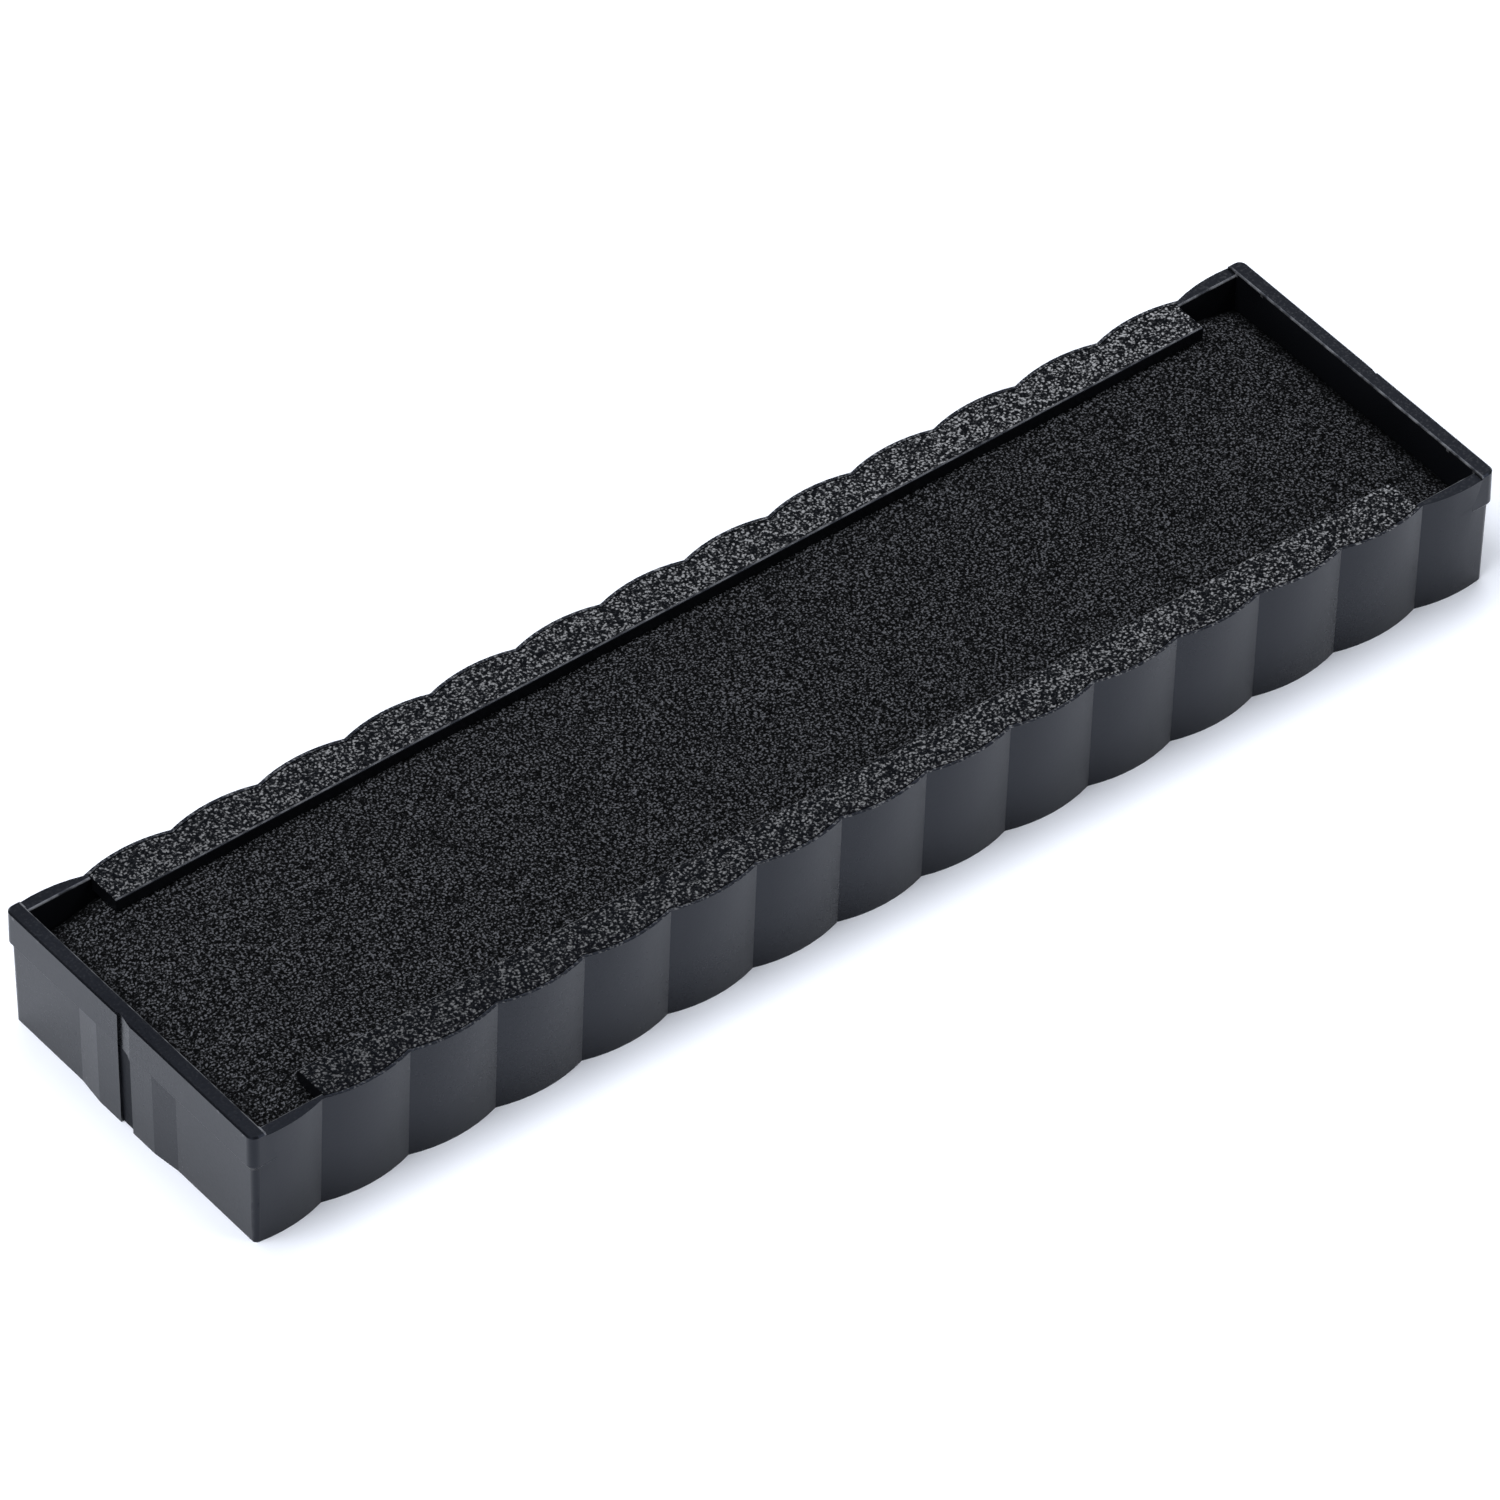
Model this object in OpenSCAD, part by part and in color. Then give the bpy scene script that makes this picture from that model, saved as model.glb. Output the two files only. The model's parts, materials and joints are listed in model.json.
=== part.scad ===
// Ink pad cartridge for a self-inking stamp.
// A shallow moulded tray holds an inked foam pad, and two textured strips along the long sides keep it in.
//
// Frame: millimetres. The origin is the middle of the underside, +X runs along the length, +Z is up.
// The cartridge slides into its stamp along Y, with the flanges of its two ends in guide grooves.

/* [Tray] */
// Overall length, across the end flanges
overall_len = 83.9; // [70:0.1:100]
// Overall width, across the crests of the scalloped long walls
overall_width = 21.8; // [20:0.1:26]
// Height of the long walls
tray_height = 7.8; // [7:0.1:9]
// How far the end rims stand above the long walls
end_rim_rise = 0.2; // [0.1:0.05:0.4]
// Thickness of the floor
floor_thickness = 1; // [0.6:0.1:1.4]
// Distance between the inner faces of the long walls, at the top
inner_width = 20.16; // [19.8:0.02:20.2]
// Distance between the inner faces of the end walls, at the top
inner_len = 82; // [81.6:0.1:82.2]
// How far the long walls and the cavity's walls lean in, from the top down
draft = 0.24; // [0.1:0.02:0.3]
// Radius along the inner top edge of the walls
rim_round = 0.12; // [0.05:0.01:0.2]

/* [Finger grips] */
// Distance from one vertical cusp to the next
scallop_pitch = 5.71; // [5.5:0.01:6]
// How far each crest stands out from the cusps beside it
scallop_depth = 0.45; // [0.3:0.05:0.5]

/* [End walls] */
// Overall width of the guide flange
flange_width = 21.68; // [21.6:0.02:21.8]
// How far the guide flange stands out from the end wall below it
flange_proud = 0.22; // [0.1:0.02:0.5]
// Height at which the flange starts to step out
flange_start = 5.4; // [4.5:0.1:6]
// How far the end walls lean in below the flange
end_draft = 0.1; // [0.05:0.01:0.2]
// Radius of the flange's upright corners
flange_corner = 0.5; // [0.4:0.05:0.8]
// Chamfer along the outer top edge of each end rim
rim_chamfer = 0.1; // [0.05:0.01:0.2]
// Width of the flat front of the boss
boss_flat = 4.85; // [3:0.05:6]
// Width of the ramp on each side of the boss
boss_ramp = 1.8; // [1:0.1:3]
// Width of the index slot
slot_width = 1.05; // [0.6:0.05:1.4]
// Depth of the index slot
slot_depth = 0.18; // [0.1:0.02:0.2]
// Height of the index slot
slot_height = 5.6; // [3:0.1:5.7]
// Distance from the middle of the end wall to the middle of the boss and its slot
slot_offset = 0.37; // [0:0.01:0.6]

/* [Retaining strips] */
// Length of each strip
strip_len = 73.7; // [60:0.1:74]
// Open width between the two strips
strip_gap = 15.8; // [14:0.1:17]
// Thickness of each strip
strip_thickness = 0.85; // [0.6:0.05:1.2]
// Width of the tray's skin outside each strip
skin = 0.2; // [0.15:0.01:0.25]
// Seam between a strip and the tray
seam = 0.05; // [0.02:0.01:0.08]

/* [Foam and felt] */
// Thickness of the felt on the floor of the tray
felt_thickness = 2; // [1:0.1:3]
// How far the foam drops at the two end walls
foam_drop = 0.9; // [0:0.1:1.5]
// Gap between the foam and the walls
foam_clearance = 0.08; // [0.04:0.01:0.2]

/* [Hidden] */
$fn = 96;

plastic_dark = [0.13, 0.13, 0.15];
plastic_textured = [0.2, 0.2, 0.22];
foam_black = [0.1, 0.1, 0.11];
felt_grey = [0.25, 0.25, 0.27];

// Scallops: every crest is an arc of a circle that passes through the two cusps beside it.
half_width = overall_width / 2;
crest_radius = (pow(scallop_pitch / 2, 2) + pow(scallop_depth, 2)) / (2 * scallop_depth);
crest_centre = half_width - crest_radius;
crests_each_way = 7;
core_half_width = half_width - scallop_depth - draft - 0.3;

// Ends: the flange's outer face, and the end wall's at the underside and at flange_full.
flange_x = overall_len / 2;
flange_slope = 0.4;
flange_full = flange_start + flange_slope;
wall_x_top = flange_x - flange_proud;
wall_x_bottom = wall_x_top - end_draft;
rim_top = tray_height + end_rim_rise;
rim_inner_x = inner_len / 2;
lean = atan(end_draft / flange_full);

// Flange corners, and where the flange's sides come out of the last crests.
flange_y = flange_width / 2;
flange_corner_x = flange_x - flange_corner;
flange_corner_y = flange_y - flange_corner;
flange_side_x = 40.4;
overlap = 0.05;

// Wall corners: each is a round post, just inside the arc of the last crest at every height.
post_radius = 0.4;
post_x = wall_x_top - post_radius;
post_reach_top = crest_radius - draft * (1 - flange_full / tray_height) - post_radius;
post_reach_bottom = crest_radius - draft - (post_radius - end_draft);
post_offset = post_x - crests_each_way * scallop_pitch;
post_y_top = crest_centre + sqrt(pow(post_reach_top, 2) - pow(post_offset, 2));
post_y_bottom = crest_centre + sqrt(pow(post_reach_bottom, 2) - pow(post_offset, 2));

// Cavity and strips
strip_underside = tray_height - strip_thickness;
strip_inner_y = strip_gap / 2;
strip_edge = 0.1;

// Index slot: one upper corner is cut off, and a shallow wedge runs on above it to the rim.
slot_corner = 0.25;
wedge_depth = 0.16;

// Marks that moulding leaves on the underside
ejector_radius = 1.5;
ejector_depth = 0.12;
ejector_x = 32;
ejector_y = 6.5;
gate_radius = 2.2;
gate_depth = 0.3;

// A block from corner a to corner b.
module block(a, b) {
    translate(a) cube(b - a);
}

// A profile drawn in X and Z, as long as the given span in Y.
module along_y(profile, y0, y1) {
    translate([0, y1, 0]) rotate([90, 0, 0]) linear_extrude(height = y1 - y0) polygon(profile);
}

// A profile drawn in Y and Z, as long as the given span in X.
module along_x(profile, x0, x1) {
    translate([x0, 0, 0]) rotate([90, 0, 90]) linear_extrude(height = x1 - x0) polygon(profile);
}

// The same thing on the +Y and the -Y side.
module both_sides() {
    children();
    mirror([0, 1, 0]) children();
}

// The same thing at both ends, turned half way round.
module both_ends() {
    children();
    rotate([0, 0, 180]) children();
}

// A row of round crests on the +Y side, kept outside core_half_width so that only neighbours meet.
module crest_row(count, z0, z1, r0, r1) {
    for (i = [-count:count])
        translate([i * scallop_pitch, 0, 0])
            intersection() {
                translate([0, crest_centre, z0]) cylinder(h = z1 - z0, r1 = r0, r2 = r1);
                block([-scallop_pitch, core_half_width - 0.2, z0], [scallop_pitch, half_width + 1, z1]);
            }
}

// The scalloped long walls as a solid block, longer than the tray.
module scalloped_block() {
    slope = draft / tray_height;
    block([-50, -core_half_width, 0], [50, core_half_width, rim_top]);
    both_sides()
        crest_row(crests_each_way, 0, rim_top, crest_radius - draft, crest_radius + slope * end_rim_rise);
}

// One end of the outline up to the flange: a leaning end face between two round posts.
module end_wall_block() {
    far = half_width + 1;
    tilt = atan((post_y_top - post_y_bottom) / flange_full);
    intersection() {
        along_y([[-1, 0], [wall_x_bottom, 0], [wall_x_top, flange_full], [-1, flange_full]], -far, far);
        along_x([[-post_y_bottom, 0], [post_y_bottom, 0], [post_y_top, flange_full],
                 [-post_y_top, flange_full]], 0, overall_len);
    }
    block([-1, -far, 0], [post_x, far, flange_full]);
    both_sides()
        intersection() {
            translate([post_x, post_y_bottom, 0]) rotate([-tilt, 0, 0])
                translate([0, 0, -overlap])
                    cylinder(h = flange_full + 2 * overlap, r1 = post_radius - end_draft, r2 = post_radius);
            block([0, 0, 0], [overall_len, far, flange_full]);
        }
}

// The guide flange, up to the top of the end rim. It stands out past the end wall and past the last crests.
module flange() {
    chamfer_z = rim_top - rim_chamfer;
    start_x = wall_x_bottom + end_draft * flange_start / flange_full;
    start_y = flange_y - (flange_x - start_x);
    along_y([[flange_side_x, flange_start], [start_x, flange_start], [flange_x, flange_full],
             [flange_x, chamfer_z], [flange_x - rim_chamfer, rim_top], [flange_side_x, rim_top]],
            -flange_corner_y, flange_corner_y);
    both_sides()
        along_x([[0, flange_start], [start_y, flange_start], [flange_y, flange_full], [flange_y, chamfer_z],
                 [flange_y - rim_chamfer, rim_top], [0, rim_top]], flange_side_x, flange_corner_x);
    both_sides()
        translate([flange_corner_x, flange_corner_y, 0]) {
            translate([0, 0, flange_start])
                cylinder(h = flange_slope, r1 = start_x - flange_corner_x, r2 = flange_corner);
            translate([0, 0, flange_full]) cylinder(h = chamfer_z - flange_full, r = flange_corner);
            translate([0, 0, chamfer_z])
                cylinder(h = rim_chamfer, r1 = flange_corner, r2 = flange_corner - rim_chamfer);
        }
}

// A flat shape, drawn in plan at the foot of the +X end wall, carried up along the lean of that wall.
module leaning(height) {
    translate([wall_x_bottom, 0, 0]) rotate([0, lean, 0])
        translate([0, 0, -1]) linear_extrude(height = height + 1) children();
}

// The boss in the middle of the end wall, flush with the flange above it.
module boss() {
    flat = boss_flat / 2;
    foot = flat + boss_ramp;
    intersection() {
        leaning(flange_full + 1)
            polygon([[-2, -foot], [0, -foot], [flange_proud, -flat],
                     [flange_proud, flat], [0, foot], [-2, foot]]);
        block([0, -foot - 1, -1], [overall_len, foot + 1, flange_full]);
    }
}

// The space that the index slot, and the wedge above it, take out of the boss.
module index_slot() {
    half = slot_width / 2;
    intersection() {
        leaning(slot_height + 1)
            translate([flange_proud - slot_depth, -half]) square([slot_depth + 1, slot_width]);
        along_x([[-half, -1], [-half, slot_height], [half - slot_corner, slot_height],
                 [half, slot_height - slot_corner], [half, -1]], 0, overall_len);
    }
    linear_extrude(height = rim_top + 1)
        polygon([[flange_x - wedge_depth, -half], [flange_x + 1, -half],
                 [flange_x + 1, half], [flange_x, half]]);
}

module tray_outline() {
    intersection() {
        scalloped_block();
        both_ends() {
            end_wall_block();
            translate([0, -slot_offset, 0]) boss();
            block([-1, -half_width - 1, flange_full], [flange_corner_x, half_width + 1, tray_height]);
        }
    }
    both_ends() flange();
}

// Right half of the section of the cavity, from the floor up: a leaning wall, rounded off at height z.
function wall_section(reach, z) =
    concat([[reach - draft, floor_thickness]],
           [for (a = [0:15:90]) [reach + rim_round * (1 - cos(a)), z - rim_round * (1 - sin(a))]],
           [[reach + rim_round, rim_top + 1]]);

// The same points on the other side, in the opposite order.
function mirrored(points) = [for (i = [len(points) - 1:-1:0]) [-points[i].x, points[i].y]];

// The hollow of the tray. Its walls lean, so it is narrower at the floor.
module cavity() {
    end_wall = wall_section(rim_inner_x, rim_top);
    long_wall = wall_section(inner_width / 2, tray_height);
    intersection() {
        along_y(concat(end_wall, mirrored(end_wall)), -half_width, half_width);
        along_x(concat(long_wall, mirrored(long_wall)), -flange_x, flange_x);
    }
}

// A strip on the +Y side, grown or shrunk along its outer edge and its ends.
module strip_shape(outer_inset, end_inset, z0, z1) {
    end_x = strip_len / 2 - end_inset;
    intersection() {
        union() {
            crest_row(crests_each_way - 1, z0, z1, crest_radius - outer_inset, crest_radius - outer_inset);
            block([-end_x, strip_inner_y, z0], [end_x, core_half_width, z1]);
        }
        block([-end_x, 0, z0 - 1], [end_x, half_width + 1, z1 + 1]);
    }
}

module retaining_strip() {
    difference() {
        strip_shape(skin + seam, 0, strip_underside, tray_height);
        along_x([[strip_inner_y - 1, tray_height - strip_edge - 1], [strip_inner_y - 1, tray_height + 1],
                 [strip_inner_y + strip_edge + 1, tray_height + 1]], -strip_len, strip_len);
    }
}

module tray() {
    color(plastic_dark)
        difference() {
            tray_outline();
            cavity();
            block([-rim_inner_x, -half_width - 1, tray_height], [rim_inner_x, half_width + 1, rim_top + 1]);
            both_sides() strip_shape(skin, -seam, strip_underside, tray_height + 1);
            both_ends() translate([0, -slot_offset, 0]) index_slot();
            both_ends() both_sides()
                translate([ejector_x, ejector_y, -1]) cylinder(h = 1 + ejector_depth, r = ejector_radius);
            translate([0, 0, -1]) cylinder(h = 1 + gate_depth, r = gate_radius);
        }
}

module retaining_strip_front() {
    color(plastic_textured) mirror([0, 1, 0]) retaining_strip();
}

module retaining_strip_rear() {
    color(plastic_textured) retaining_strip();
}

// The foam rises to the underside of the strips, and drops towards the end walls.
module foam_pad() {
    half_x = inner_len / 2 - draft - foam_clearance;
    half_y = inner_width / 2 - draft - foam_clearance;
    z0 = floor_thickness + felt_thickness;
    color(foam_black)
        along_y([[-half_x, z0], [half_x, z0], [half_x, strip_underside - foam_drop],
                 [strip_len / 2, strip_underside], [-strip_len / 2, strip_underside],
                 [-half_x, strip_underside - foam_drop]], -half_y, half_y);
}

module reservoir_felt() {
    half_x = inner_len / 2 - draft - foam_clearance;
    half_y = inner_width / 2 - draft - foam_clearance;
    color(felt_grey)
        block([-half_x, -half_y, floor_thickness], [half_x, half_y, floor_thickness + felt_thickness]);
}

tray();
retaining_strip_front();
retaining_strip_rear();
foam_pad();
reservoir_felt();
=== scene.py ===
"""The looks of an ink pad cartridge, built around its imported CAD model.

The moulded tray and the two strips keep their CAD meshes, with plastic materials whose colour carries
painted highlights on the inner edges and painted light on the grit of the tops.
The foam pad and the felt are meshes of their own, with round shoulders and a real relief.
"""

import json
import math

import bpy
import numpy as np
from mathutils import Matrix, Vector

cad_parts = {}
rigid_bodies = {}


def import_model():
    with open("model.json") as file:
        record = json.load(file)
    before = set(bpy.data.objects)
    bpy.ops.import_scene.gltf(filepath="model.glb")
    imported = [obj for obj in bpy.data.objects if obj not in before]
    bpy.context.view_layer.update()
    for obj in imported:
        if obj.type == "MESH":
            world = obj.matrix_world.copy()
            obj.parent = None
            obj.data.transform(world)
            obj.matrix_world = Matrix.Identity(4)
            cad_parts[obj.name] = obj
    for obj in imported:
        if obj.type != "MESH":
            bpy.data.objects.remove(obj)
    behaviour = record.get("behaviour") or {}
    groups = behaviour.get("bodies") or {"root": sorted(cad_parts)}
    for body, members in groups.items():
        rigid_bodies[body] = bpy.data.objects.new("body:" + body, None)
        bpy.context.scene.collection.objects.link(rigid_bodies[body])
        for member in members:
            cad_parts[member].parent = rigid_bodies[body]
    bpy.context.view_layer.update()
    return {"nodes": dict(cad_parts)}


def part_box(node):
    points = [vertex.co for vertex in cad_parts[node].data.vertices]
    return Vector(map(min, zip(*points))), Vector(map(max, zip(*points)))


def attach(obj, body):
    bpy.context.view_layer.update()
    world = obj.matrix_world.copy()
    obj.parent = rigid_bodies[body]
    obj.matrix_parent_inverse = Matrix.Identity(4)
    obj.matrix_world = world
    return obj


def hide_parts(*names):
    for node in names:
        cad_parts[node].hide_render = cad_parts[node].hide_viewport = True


MM = 0.001

# The photograph's viewpoint, in degrees and millimetres.
CAMERA_AZIMUTH = -38.69
CAMERA_ELEVATION = 43.80
CAMERA_ROLL = 0.79
CAMERA_DISTANCE = 777.7
CAMERA_LENS = 348.3
CAMERA_SENSOR = 36
CAMERA_SHIFT = (-0.0073, 0.0293)

# Foam pad and felt, in millimetres.
FOAM_GRID = 0.13
FOAM_CORNER = 0.8
FOAM_SHOULDER = 0.8
FOAM_SHOULDER_DROP = 0.4
FOAM_END_FALL = 0.7
FOAM_END_REACH = 5.0
PORE_DEPTH = 0.035
PORE_WAVELENGTHS = (0.38, 0.62)
SWELL_DEPTH = 0.02
SWELL_WAVELENGTHS = (5, 11)
FELT_GRID = 0.4
FELT_CORNER = 0.5
FELT_TUFT_DEPTH = 0.06
FELT_TUFT_WAVELENGTHS = (1.2, 2.4)
FELT_FRAY_WIDTH = 0.6

# Grains of grit and foam: how far apart their round dots are, in grains, and how much the dots count.
DOT_SPACING = 1.6
DOT_SHARE = 0.25

# Moulded plastic: sizes, places and depths in millimetres, and the cool cast of its reflections.
PLASTIC_TINT = (0.29, 0.325, 0.42, 1)
PLASTIC_ROUGHNESS = (0.25, 0.35)
PLASTIC_COLOURS = ((0.3, (0.0035, 0.0037, 0.0044)), (0.7, (0.0055, 0.0058, 0.0068)))
GRAIN_SIZE = 0.16
GRAIN_DEPTH = 0.01
FLOW_SIZE = 9
SLOT_ROUGHNESS = 0.4
STRIP_SPECULAR = 0.15

# Grit on the tops: where it is, how much there is, and how its painted light grows along X and Y, per metre,
# making the tops brighter towards the rear right.
GRIT_SIZE = 0.125
GRIT_DEPTH = 0.1
GRIT_ROUGHNESS = 0.25
# Grit colours from pits to tips. The brightest stop is partly the grit's own light tips and partly painted
# glints, where facets would catch the light.
GRIT_COLOURS = (
    (0.38, (0.0004, 0.0004, 0.0004)),
    (0.51, (0.011, 0.011, 0.011)),
    (0.66, (0.19, 0.187, 0.18)),
)
GRIT_FROM = 7.785
GRIT_END = 36.9
GRIT_PAINTED_LIGHT_SLOPE = (10, 17, 0)
RIM_INNER_X = 40.99
RIM_RISE = 0.2
STRIP_GRIT = 1.0
WALL_GRIT = 0.6
RIM_GRIT = 0.06

# Painted highlights on the inner edges, a light colour where the rounded edges would catch the light: each
# lies between two distances from the middle and between two heights, in millimetres.
EDGE_HIGHLIGHT_COLOUR = (0.12, 0.12, 0.12, 1)
EDGE_HIGHLIGHT_BREAK_SIZE = 0.7
EDGE_HIGHLIGHT_END_RIM = ((40.9, 41.1), (7.9, 8.1))
EDGE_HIGHLIGHT_LONG_WALL = ((10, 10.18), (7.7, 7.9))
EDGE_HIGHLIGHT_STRIP = ((7.8, 8.01), (7.74, 7.9))

# Inked foam and felt, in millimetres. By the walls the foam has painted shade: its colour darkens from the
# second length to the first.
PORE_SIZE = 0.112
PORE_BUMP_DEPTH = 0.08
# Foam colours from pores to bridges. The brightest stop is partly the bridges' own tone and partly painted
# glints off the wet ink.
FOAM_COLOURS = (
    (0.38, (0.0002, 0.0002, 0.0002)),
    (0.51, (0.0058, 0.0058, 0.006)),
    (0.66, (0.078, 0.078, 0.08)),
)
FOAM_PAINTED_SHADE_END = (40.5, 39.1)
FOAM_PAINTED_SHADE_SIDE = (9.6, 8.6)
EDGE_SHADE = 0.15
FIBRE_SIZE = 0.3
FIBRE_BUMP_DEPTH = 0.15
FELT_COLOURS = ((0.3, (0.006, 0.006, 0.007)), (0.7, (0.028, 0.028, 0.03)))

# Studio light: a cool white. Each softbox has its azimuth and elevation in degrees, its distance and size in
# metres, and its power in watts.
LIGHT_COLOUR = (0.87, 0.91, 1.0)
WORLD_STRENGTH = 0.12
FLOOR_SIZE = 2.0
FLOOR_COLOUR = (0.93, 0.93, 0.93, 1)
SOFTBOXES = {
    "left_softbox": (-90, 66, 0.5, 0.32, 2.55),
    "back_softbox": (140, 74, 0.9, 0.45, 3.8),
    "rim_softbox": (125, 44, 0.3, 0.12, 0.03),
    "front_edge_softbox": (36, 39, 0.6, 0.18, 0.8),
    "back_edge_softbox": (190, 50, 0.6, 0.15, 0.4),
}

# Edges of the strips, in millimetres and degrees.
WELD_DISTANCE = 0.0005
EDGE_RADIUS = 0.03
EDGE_ANGLE = 28

# Index slots, in millimetres. A point is in a slot where it lies between these limits.
SLOT_INNER_X = 41.3
SLOT_FLOOR_X = 41.76
SLOT_LEAN = 0.0172
SLOT_SIDES = (-0.895, 0.155)
SLOT_TOP = 5.6


# ---------------------------------------------------------------- materials


class Graph:
    """A material's node tree, with one short call for each node."""

    def __init__(self, name):
        self.material = bpy.data.materials.new(name)
        self.material.use_nodes = True
        self.tree = self.material.node_tree
        self.tree.nodes.clear()
        self.shader = self.add("ShaderNodeBsdfPrincipled")
        output = self.add("ShaderNodeOutputMaterial")
        self.link(self.shader.outputs["BSDF"], output.inputs["Surface"])
        self.place = self.add("ShaderNodeTexCoord").outputs["Object"]

    def add(self, kind, settings=None, **inputs):
        node = self.tree.nodes.new(kind)
        for key, value in (settings or {}).items():
            setattr(node, key, value)
        for key, value in inputs.items():
            self.feed(node.inputs[key.replace("_", " ")], value)
        return node

    def link(self, source, target):
        self.tree.links.new(source, target)

    def feed(self, socket, value):
        if isinstance(value, bpy.types.NodeSocket):
            self.link(value, socket)
        else:
            socket.default_value = value

    def noise(self, size_mm, detail=2.0, roughness=0.5):
        """Noise whose bumps are about size_mm across."""
        node = self.add("ShaderNodeTexNoise", Vector=self.place, Scale=1 / (size_mm * MM), Detail=detail,
                        Roughness=roughness)
        return node.outputs["Fac"]

    def cells(self, size_mm):
        """Distance to the nearest cell centre, in cells about size_mm across."""
        node = self.add("ShaderNodeTexVoronoi", Vector=self.place, Scale=1 / (size_mm * MM))
        return node.outputs["Distance"]

    def grains(self, size_mm):
        """Even, ragged grains, low in the pits and high on the tips: noise with a few round dots."""
        dots = self.remap(self.cells(size_mm * DOT_SPACING), 0.12, 0.8, 1, 0)
        worms = self.noise(size_mm, detail=1)
        return self.math("ADD", self.times(dots, DOT_SHARE), self.times(worms, 1 - DOT_SHARE))

    def within(self, value, low_mm, high_mm):
        """1 where a length lies between two limits, and 0 elsewhere."""
        above = self.math("GREATER_THAN", value, low_mm * MM)
        return self.times(above, self.math("LESS_THAN", value, high_mm * MM))

    def sizes(self):
        """Distance from the middle along X and along Y, and the height."""
        x, y, z = self.add("ShaderNodeSeparateXYZ", Vector=self.place).outputs
        return self.math("ABSOLUTE", x), self.math("ABSOLUTE", y), z

    def math(self, operation, a, b=0.0):
        node = self.add("ShaderNodeMath", {"operation": operation})
        self.feed(node.inputs[0], a)
        self.feed(node.inputs[1], b)
        return node.outputs[0]

    def remap(self, value, low, high, to_low, to_high):
        node = self.add("ShaderNodeMapRange", Value=value)
        for key, number in (("From Min", low), ("From Max", high), ("To Min", to_low), ("To Max", to_high)):
            node.inputs[key].default_value = number
        return node.outputs["Result"]

    def smooth(self, value, dark_mm, light_mm):
        """Rises smoothly from EDGE_SHADE to 1 between two lengths."""
        node = self.add("ShaderNodeMapRange", {"interpolation_type": "SMOOTHSTEP"}, Value=value)
        node.inputs["From Min"].default_value = dark_mm * MM
        node.inputs["From Max"].default_value = light_mm * MM
        node.inputs["To Min"].default_value = EDGE_SHADE
        return node.outputs["Result"]

    def ramp(self, value, *stops):
        """A colour ramp through (position, colour) stops."""
        node = self.add("ShaderNodeValToRGB", Fac=value)
        elements = node.color_ramp.elements
        while len(elements) < len(stops):
            elements.new(0.5)
        for element, (position, colour) in zip(elements, stops):
            element.position = position
            element.color = (*colour, 1)
        return node.outputs["Color"]

    def mix(self, factor, first, second):
        """The first colour where factor is 0, and the second where it is 1."""
        node = self.add("ShaderNodeMix", {"data_type": "RGBA"})
        self.feed(node.inputs[0], factor)
        self.feed(node.inputs[6], first)
        self.feed(node.inputs[7], second)
        return node.outputs[2]

    def times(self, first, *others):
        """The product of two or more values."""
        for other in others:
            first = self.math("MULTIPLY", first, other)
        return first

    def shade(self, colour, factor):
        """The colour made darker or lighter by a factor."""
        node = self.add("ShaderNodeVectorMath", {"operation": "SCALE"}, Scale=factor)
        self.link(colour, node.inputs[0])
        return node.outputs["Vector"]

    def bump(self, height, depth_mm, strength=1.0, normal=None):
        node = self.add("ShaderNodeBump", Height=height, Distance=depth_mm * MM, Strength=strength)
        if normal is not None:
            self.link(normal, node.inputs["Normal"])
        return node.outputs["Normal"]

    def finish(self, **inputs):
        for key, value in inputs.items():
            self.feed(self.shader.inputs[key.replace("_", " ")], value)
        return self.material


def moulded_plastic(name, grit_share, **finish):
    """Satin black moulding: faint grain, flow marks, rougher slot floors, grit on the tops with painted
    light that grows towards the rear right, painted edge highlights.
    """
    g = Graph(name)
    grain = g.noise(GRAIN_SIZE, detail=3, roughness=0.6)
    flow = g.noise(FLOW_SIZE, detail=2)
    grit = g.grains(GRIT_SIZE)
    out, across, high = g.sizes()
    rough = g.times(on_top(g, out, high), share_of_grit(g, out, grit_share))

    # Painted light: the grit's colour is scaled brighter towards +X and +Y, like tops reflecting a soft
    # light at the rear right.
    along = g.add("ShaderNodeVectorMath", {"operation": "DOT_PRODUCT"})
    g.link(g.place, along.inputs[0])
    along.inputs[1].default_value = GRIT_PAINTED_LIGHT_SLOPE
    grit_colour = g.shade(g.ramp(grit, *GRIT_COLOURS), g.math("ADD", along.outputs["Value"], 1.0))
    colour = g.mix(rough, g.ramp(flow, *PLASTIC_COLOURS), grit_colour)
    # Painted highlight: a light colour along the inner edges, broken into patches, standing in for the
    # rounded edges catching the light.
    highlight_breaks = g.remap(g.noise(EDGE_HIGHLIGHT_BREAK_SIZE, detail=4), 0.38, 0.62, 0.15, 1)
    colour = g.mix(g.times(painted_edge_highlights(g, out, across, high), highlight_breaks), colour, EDGE_HIGHLIGHT_COLOUR)

    uneven = g.math("ADD", g.times(grain, 0.6), g.times(flow, 0.4))
    gloss = g.remap(uneven, 0.3, 0.7, *PLASTIC_ROUGHNESS)
    gloss = g.math("ADD", gloss, g.times(in_slot(g), SLOT_ROUGHNESS))
    gloss = g.math("ADD", gloss, g.times(rough, GRIT_ROUGHNESS))
    normal = g.bump(g.times(grit, rough), GRIT_DEPTH, normal=g.bump(grain, GRAIN_DEPTH, 0.3))
    return g.finish(Base_Color=colour, Roughness=gloss, IOR=1.5, Normal=normal, Specular_Tint=PLASTIC_TINT,
                    **finish)


def on_top(g, out, high):
    """1 on the tops of the strips and walls, and 0 lower down. The end rims count from RIM_RISE higher."""
    on_rim = g.math("GREATER_THAN", out, RIM_INNER_X * MM)
    top = g.math("ADD", GRIT_FROM * MM, g.times(on_rim, RIM_RISE * MM))
    return g.math("GREATER_THAN", high, top)


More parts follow.
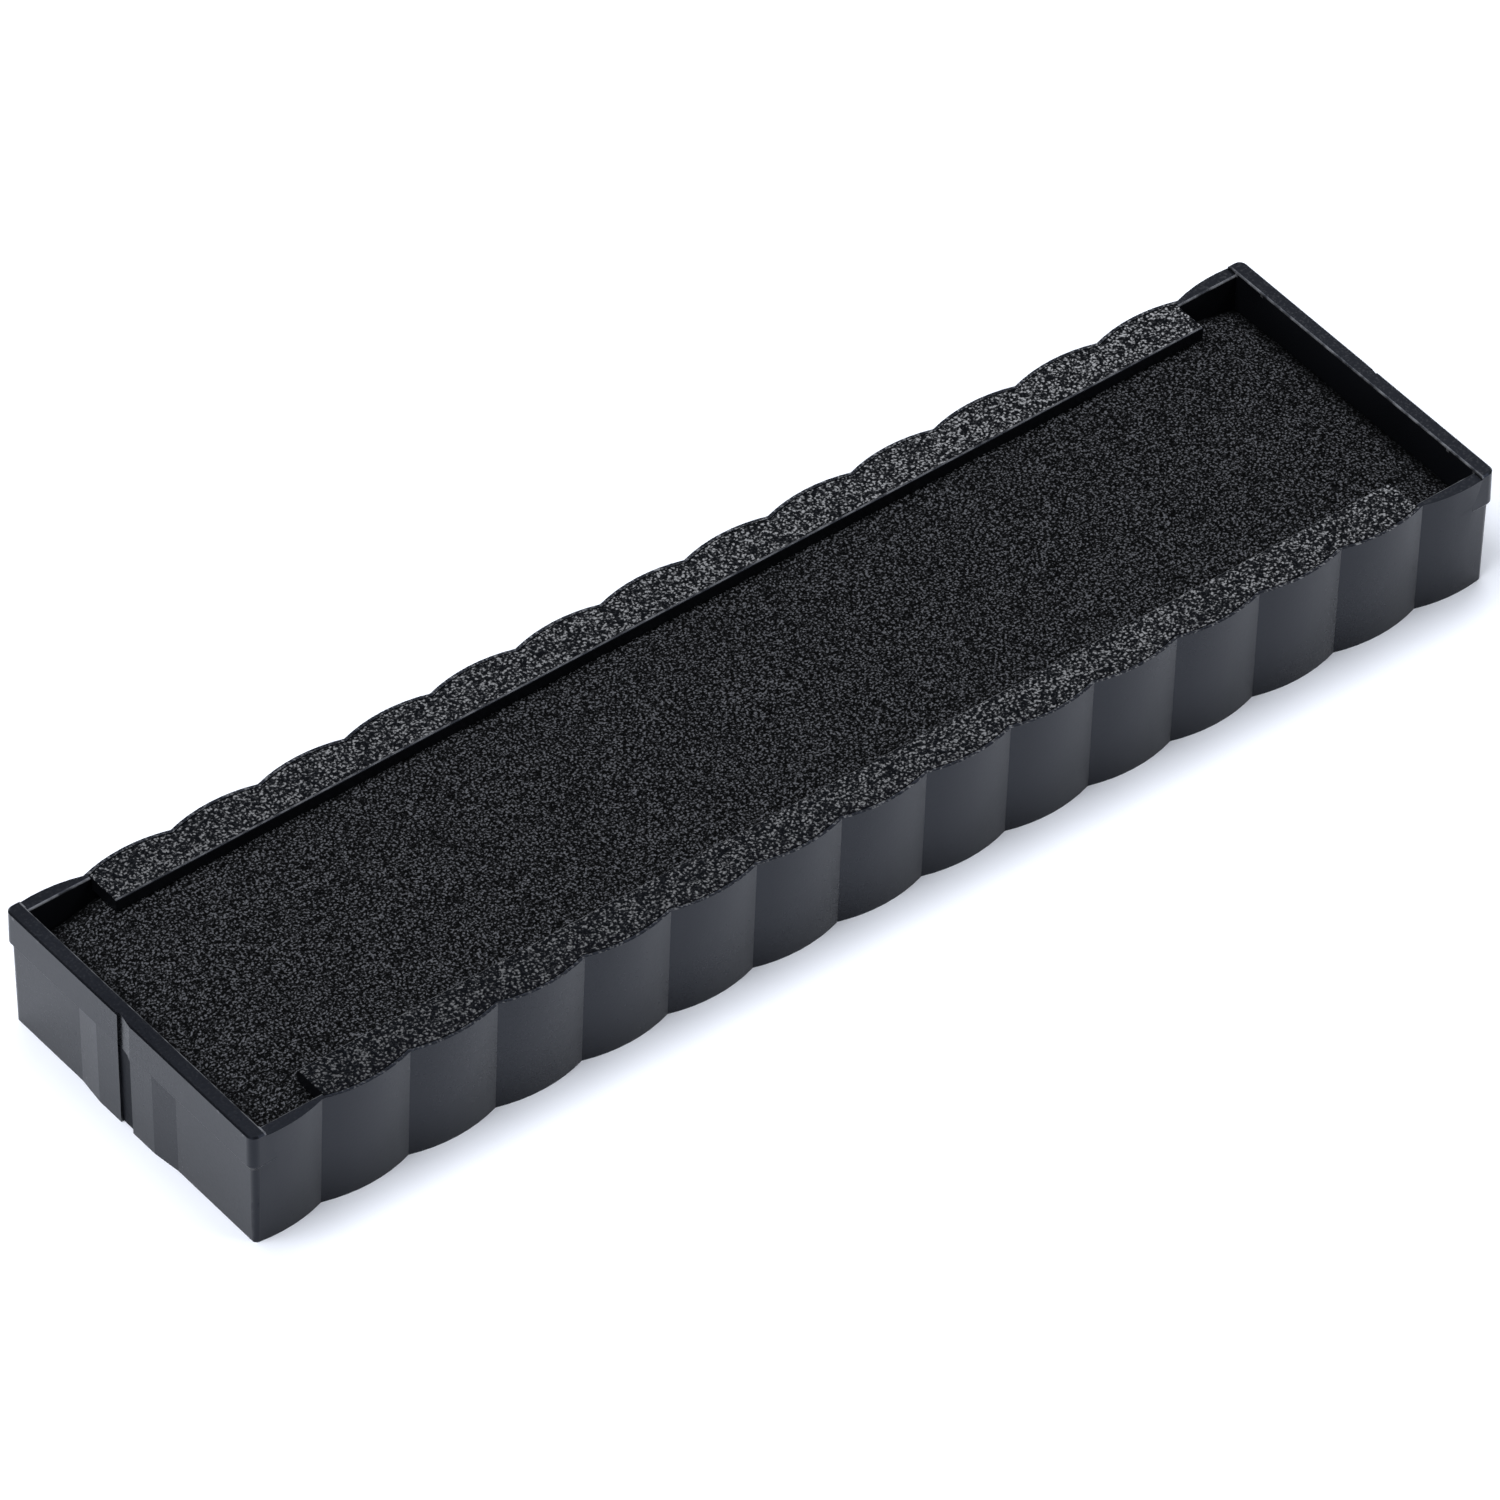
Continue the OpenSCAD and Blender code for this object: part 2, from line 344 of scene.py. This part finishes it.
def share_of_grit(g, out, grit_share):
    """grit_share beside the strips, and RIM_GRIT beyond them."""
    by_strip = g.math("LESS_THAN", out, GRIT_END * MM)
    return g.math("ADD", RIM_GRIT, g.times(by_strip, grit_share - RIM_GRIT))


def painted_edge_highlights(g, out, across, high):
    """1 where the painted highlights go: on the inner edges of the end rims, the strips, and the long walls
    beyond the strips.
    """

    def edge(value, limits):
        value_limits, heights = limits
        return g.times(g.within(value, *value_limits), g.within(high, *heights))

    beyond_strips = g.math("GREATER_THAN", out, GRIT_END * MM)
    long_wall = g.times(beyond_strips, edge(across, EDGE_HIGHLIGHT_LONG_WALL))
    ends_and_strips = g.math("MAXIMUM", edge(out, EDGE_HIGHLIGHT_END_RIM), edge(across, EDGE_HIGHLIGHT_STRIP))
    return g.math("MAXIMUM", ends_and_strips, long_wall)


def in_slot(g):
    """1 on the floors of the two index slots, one turned half way round from the other, and 0 elsewhere."""
    x, y, z = g.add("ShaderNodeSeparateXYZ", Vector=g.place).outputs
    out = g.math("ABSOLUTE", x)
    across = g.times(y, g.math("SIGN", x))
    depth = g.math("SUBTRACT", out, g.times(z, SLOT_LEAN))
    below_top = g.math("LESS_THAN", z, SLOT_TOP * MM)
    return g.times(g.within(depth, SLOT_INNER_X, SLOT_FLOOR_X), g.within(across, *SLOT_SIDES), below_top)


def inked_foam():
    """Fine open-cell foam, wet with black ink: dark pores between small bridges, with painted shade
    darkening it by the walls.
    """
    g = Graph("inked_foam")
    pores = g.grains(PORE_SIZE)
    out, across, _ = g.sizes()
    # Painted shade: the foam's colour darkens towards the end walls and long walls, where the walls would
    # shade it.
    shade = g.times(g.smooth(out, *FOAM_PAINTED_SHADE_END), g.smooth(across, *FOAM_PAINTED_SHADE_SIDE))
    colour = g.shade(g.ramp(pores, *FOAM_COLOURS), shade)
    gloss = g.remap(pores, 0.35, 0.65, 0.75, 0.5)
    normal = g.bump(pores, PORE_BUMP_DEPTH, 0.8)
    return g.finish(Base_Color=colour, Roughness=gloss, IOR=1.4, Specular_IOR_Level=0.05, Normal=normal)


def inked_felt():
    """Dense felt under the foam: matted fibres, soaked with ink."""
    g = Graph("inked_felt")
    fibres = g.noise(FIBRE_SIZE, detail=6, roughness=0.75)
    colour = g.ramp(fibres, *FELT_COLOURS)
    return g.finish(Base_Color=colour, Roughness=0.85, Normal=g.bump(fibres, FIBRE_BUMP_DEPTH, 0.8))


def floor_paper():
    return Graph("floor_paper").finish(Base_Color=FLOOR_COLOUR, Roughness=0.9)


# ---------------------------------------------------------------- moulded parts


def dress(cad_node, material):
    """Gives a CAD node its material, without changing its mesh."""
    cad_node.data.materials.clear()
    cad_node.data.materials.append(material)


def round_edges(cad_node):
    """Rounds a CAD node's sharp edges with modifiers."""
    weld = cad_node.modifiers.new("weld", "WELD")
    weld.merge_threshold = WELD_DISTANCE * MM
    bevel = cad_node.modifiers.new("edges", "BEVEL")
    bevel.width = EDGE_RADIUS * MM
    bevel.segments = 2
    bevel.limit_method = "ANGLE"
    bevel.angle_limit = math.radians(EDGE_ANGLE)
    bevel.use_clamp_overlap = False


# ---------------------------------------------------------------- foam pad and felt


def smooth_step(t):
    t = np.clip(t, 0, 1)
    return t * t * (3 - 2 * t)


def band_noise(shape, spacing, wavelengths, seed):
    """Even, seeded noise whose ripples lie between two wavelengths, from about -2 to 2."""
    white = np.random.default_rng(seed).standard_normal(shape)
    fx = np.fft.fftfreq(shape[0], spacing)[:, None]
    fy = np.fft.rfftfreq(shape[1], spacing)[None, :]
    frequency = np.hypot(fx, fy)
    low, high = 1 / wavelengths[1], 1 / wavelengths[0]
    keep = np.exp(-(((frequency - (low + high) / 2) / ((high - low) / 1.6)) ** 2))
    noise = np.fft.irfft2(np.fft.rfft2(white) * keep, shape)
    return noise / noise.std()


def distance_in(x, y, half_x, half_y, corner):
    """Distance from the edge of a rectangle whose corners are rounded, counted inwards."""
    over_x = np.maximum(np.abs(x) - (half_x - corner), 0)
    over_y = np.maximum(np.abs(y) - (half_y - corner), 0)
    straight = np.minimum(half_x - np.abs(x), half_y - np.abs(y))
    return np.where((over_x > 0) & (over_y > 0), corner - np.hypot(over_x, over_y), straight)


def foam_height(x, y, half_x, half_y, top):
    """Height of the foam's top: flat under the strips, lower at the ends, rounded, and full of pores."""
    to_edge = distance_in(x, y, half_x, half_y, FOAM_CORNER)
    shoulder = np.clip(1 - to_edge / FOAM_SHOULDER, 0, 1)
    rounding = FOAM_SHOULDER_DROP * (1 - np.sqrt(1 - shoulder**2))
    end_fall = FOAM_END_FALL * smooth_step(1 - (half_x - np.abs(x)) / FOAM_END_REACH)
    pores = band_noise(x.shape, FOAM_GRID, PORE_WAVELENGTHS, seed=7)
    swell = band_noise(x.shape, FOAM_GRID, SWELL_WAVELENGTHS, seed=8)
    relief = PORE_DEPTH * (1 - np.clip(pores, -1.6, 1)) / 2 + SWELL_DEPTH * (1 - swell)
    return np.minimum(top - rounding - end_fall - relief, top)


def felt_height(x, y, half_x, half_y, top):
    """Height of the felt's top: flat and tufted, a little frayed along its cut edges."""
    tufts = band_noise(x.shape, FELT_GRID, FELT_TUFT_WAVELENGTHS, seed=9)
    to_edge = distance_in(x, y, half_x, half_y, FELT_CORNER)
    frayed = FELT_TUFT_DEPTH * np.clip(1 - to_edge / FELT_FRAY_WIDTH, 0, 1)
    return np.minimum(top - FELT_TUFT_DEPTH * (1 - np.clip(tufts, -1, 1)) / 2 - frayed, top)


def block_mesh(name, box, grid, height):
    """A closed block: a grid that follows height on top, straight sides and a flat bottom."""
    low, high = box
    half_x, half_y = high.x / MM, high.y / MM
    nx, ny = (int(round(2 * half / grid)) + 1 for half in (half_x, half_y))
    x, y = np.meshgrid(np.linspace(-half_x, half_x, nx), np.linspace(-half_y, half_y, ny), indexing="ij")
    z = height(x, y, half_x, half_y, high.z / MM)

    index = np.arange(nx * ny).reshape(nx, ny)
    top_quads = np.stack([index[:-1, :-1], index[1:, :-1], index[1:, 1:], index[:-1, 1:]], -1).reshape(-1, 4)
    rim = np.concatenate([index[:-1, 0], index[-1, :-1], index[:0:-1, -1], index[0, :0:-1]])
    foot = nx * ny + np.arange(len(rim))
    side_quads = np.stack([rim, foot, np.roll(foot, -1), np.roll(rim, -1)], -1)
    points = np.stack([x, y, z], -1).reshape(-1, 3)
    feet = points[rim].copy()
    feet[:, 2] = low.z / MM
    points = np.concatenate([points, feet]) * MM
    faces = [tuple(q) for q in top_quads] + [tuple(q) for q in side_quads] + [tuple(foot[::-1])]
    mesh = bpy.data.meshes.new(name)
    mesh.from_pydata(points.tolist(), [], faces)
    mesh.shade_smooth()
    mesh.update()
    return mesh


def make_soft_piece(name, cad_node, material, grid, height):
    """Puts a detailed soft piece in the place of a plain CAD solid."""
    piece = bpy.data.objects.new(name, block_mesh(name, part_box(cad_node), grid, height))
    bpy.context.scene.collection.objects.link(piece)
    piece.data.materials.append(material)
    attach(piece, "root")
    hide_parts(cad_node)


# ---------------------------------------------------------------- studio


def make_floor(size):
    mesh = bpy.data.meshes.new("floor")
    half = size / 2
    corners = [(-half, -half, 0), (half, -half, 0), (half, half, 0), (-half, half, 0)]
    mesh.from_pydata(corners, [], [(0, 1, 2, 3)])
    floor = bpy.data.objects.new("floor", mesh)
    bpy.context.scene.collection.objects.link(floor)
    floor.data.materials.append(floor_paper())


def make_softbox(name, azimuth, elevation, distance, size, power):
    """A square area light that faces the origin. Azimuth 0 is on the -Y side, and 90 is on the +X side."""
    light = bpy.data.lights.new(name, "AREA")
    light.shape = "SQUARE"
    light.size = size
    light.energy = power
    light.color = LIGHT_COLOUR
    lamp = bpy.data.objects.new(name, light)
    bpy.context.scene.collection.objects.link(lamp)
    a, e = math.radians(azimuth), math.radians(elevation)
    away = Vector((math.sin(a) * math.cos(e), -math.cos(a) * math.cos(e), math.sin(e)))
    lamp.location = away * distance
    lamp.rotation_euler = away.to_track_quat("Z", "Y").to_euler()


def make_world():
    world = bpy.data.worlds.new("studio")
    bpy.context.scene.world = world
    world.use_nodes = True
    background = world.node_tree.nodes["Background"]
    background.inputs["Color"].default_value = (*LIGHT_COLOUR, 1)
    background.inputs["Strength"].default_value = WORLD_STRENGTH


def make_camera():
    camera = bpy.data.cameras.new("camera")
    camera.lens = CAMERA_LENS
    camera.sensor_width = CAMERA_SENSOR
    camera.shift_x, camera.shift_y = CAMERA_SHIFT
    camera.clip_start = 0.01
    rig = bpy.data.objects.new("camera", camera)
    bpy.context.scene.collection.objects.link(rig)
    a, e, roll = (math.radians(v) for v in (CAMERA_AZIMUTH, CAMERA_ELEVATION, CAMERA_ROLL))
    back = Vector((math.sin(a) * math.cos(e), -math.cos(a) * math.cos(e), math.sin(e)))
    right = Vector((math.cos(a), math.sin(a), 0))
    up = back.cross(right)
    turned_right = right * math.cos(roll) + up * math.sin(roll)
    turned_up = up * math.cos(roll) - right * math.sin(roll)
    axes = Matrix((turned_right, turned_up, back)).transposed()
    rig.matrix_world = Matrix.Translation(back * CAMERA_DISTANCE * MM) @ axes.to_4x4()
    bpy.context.scene.camera = rig


# ---------------------------------------------------------------- the scene

for leftover in list(bpy.data.objects):
    bpy.data.objects.remove(leftover)
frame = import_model()

strip_plastic = moulded_plastic("textured_plastic", STRIP_GRIT, Specular_IOR_Level=STRIP_SPECULAR)
dress(frame["nodes"]["tray"], moulded_plastic("tray_plastic", WALL_GRIT))
for strip in ("retaining_strip_front", "retaining_strip_rear"):
    dress(frame["nodes"][strip], strip_plastic)
    round_edges(frame["nodes"][strip])
make_soft_piece("foam_surface", "foam_pad", inked_foam(), FOAM_GRID, foam_height)
make_soft_piece("felt_sheet", "reservoir_felt", inked_felt(), FELT_GRID, felt_height)

make_floor(FLOOR_SIZE)
for softbox, placing in SOFTBOXES.items():
    make_softbox(softbox, *placing)
make_world()
make_camera()
bpy.context.scene.view_settings.view_transform = "Standard"
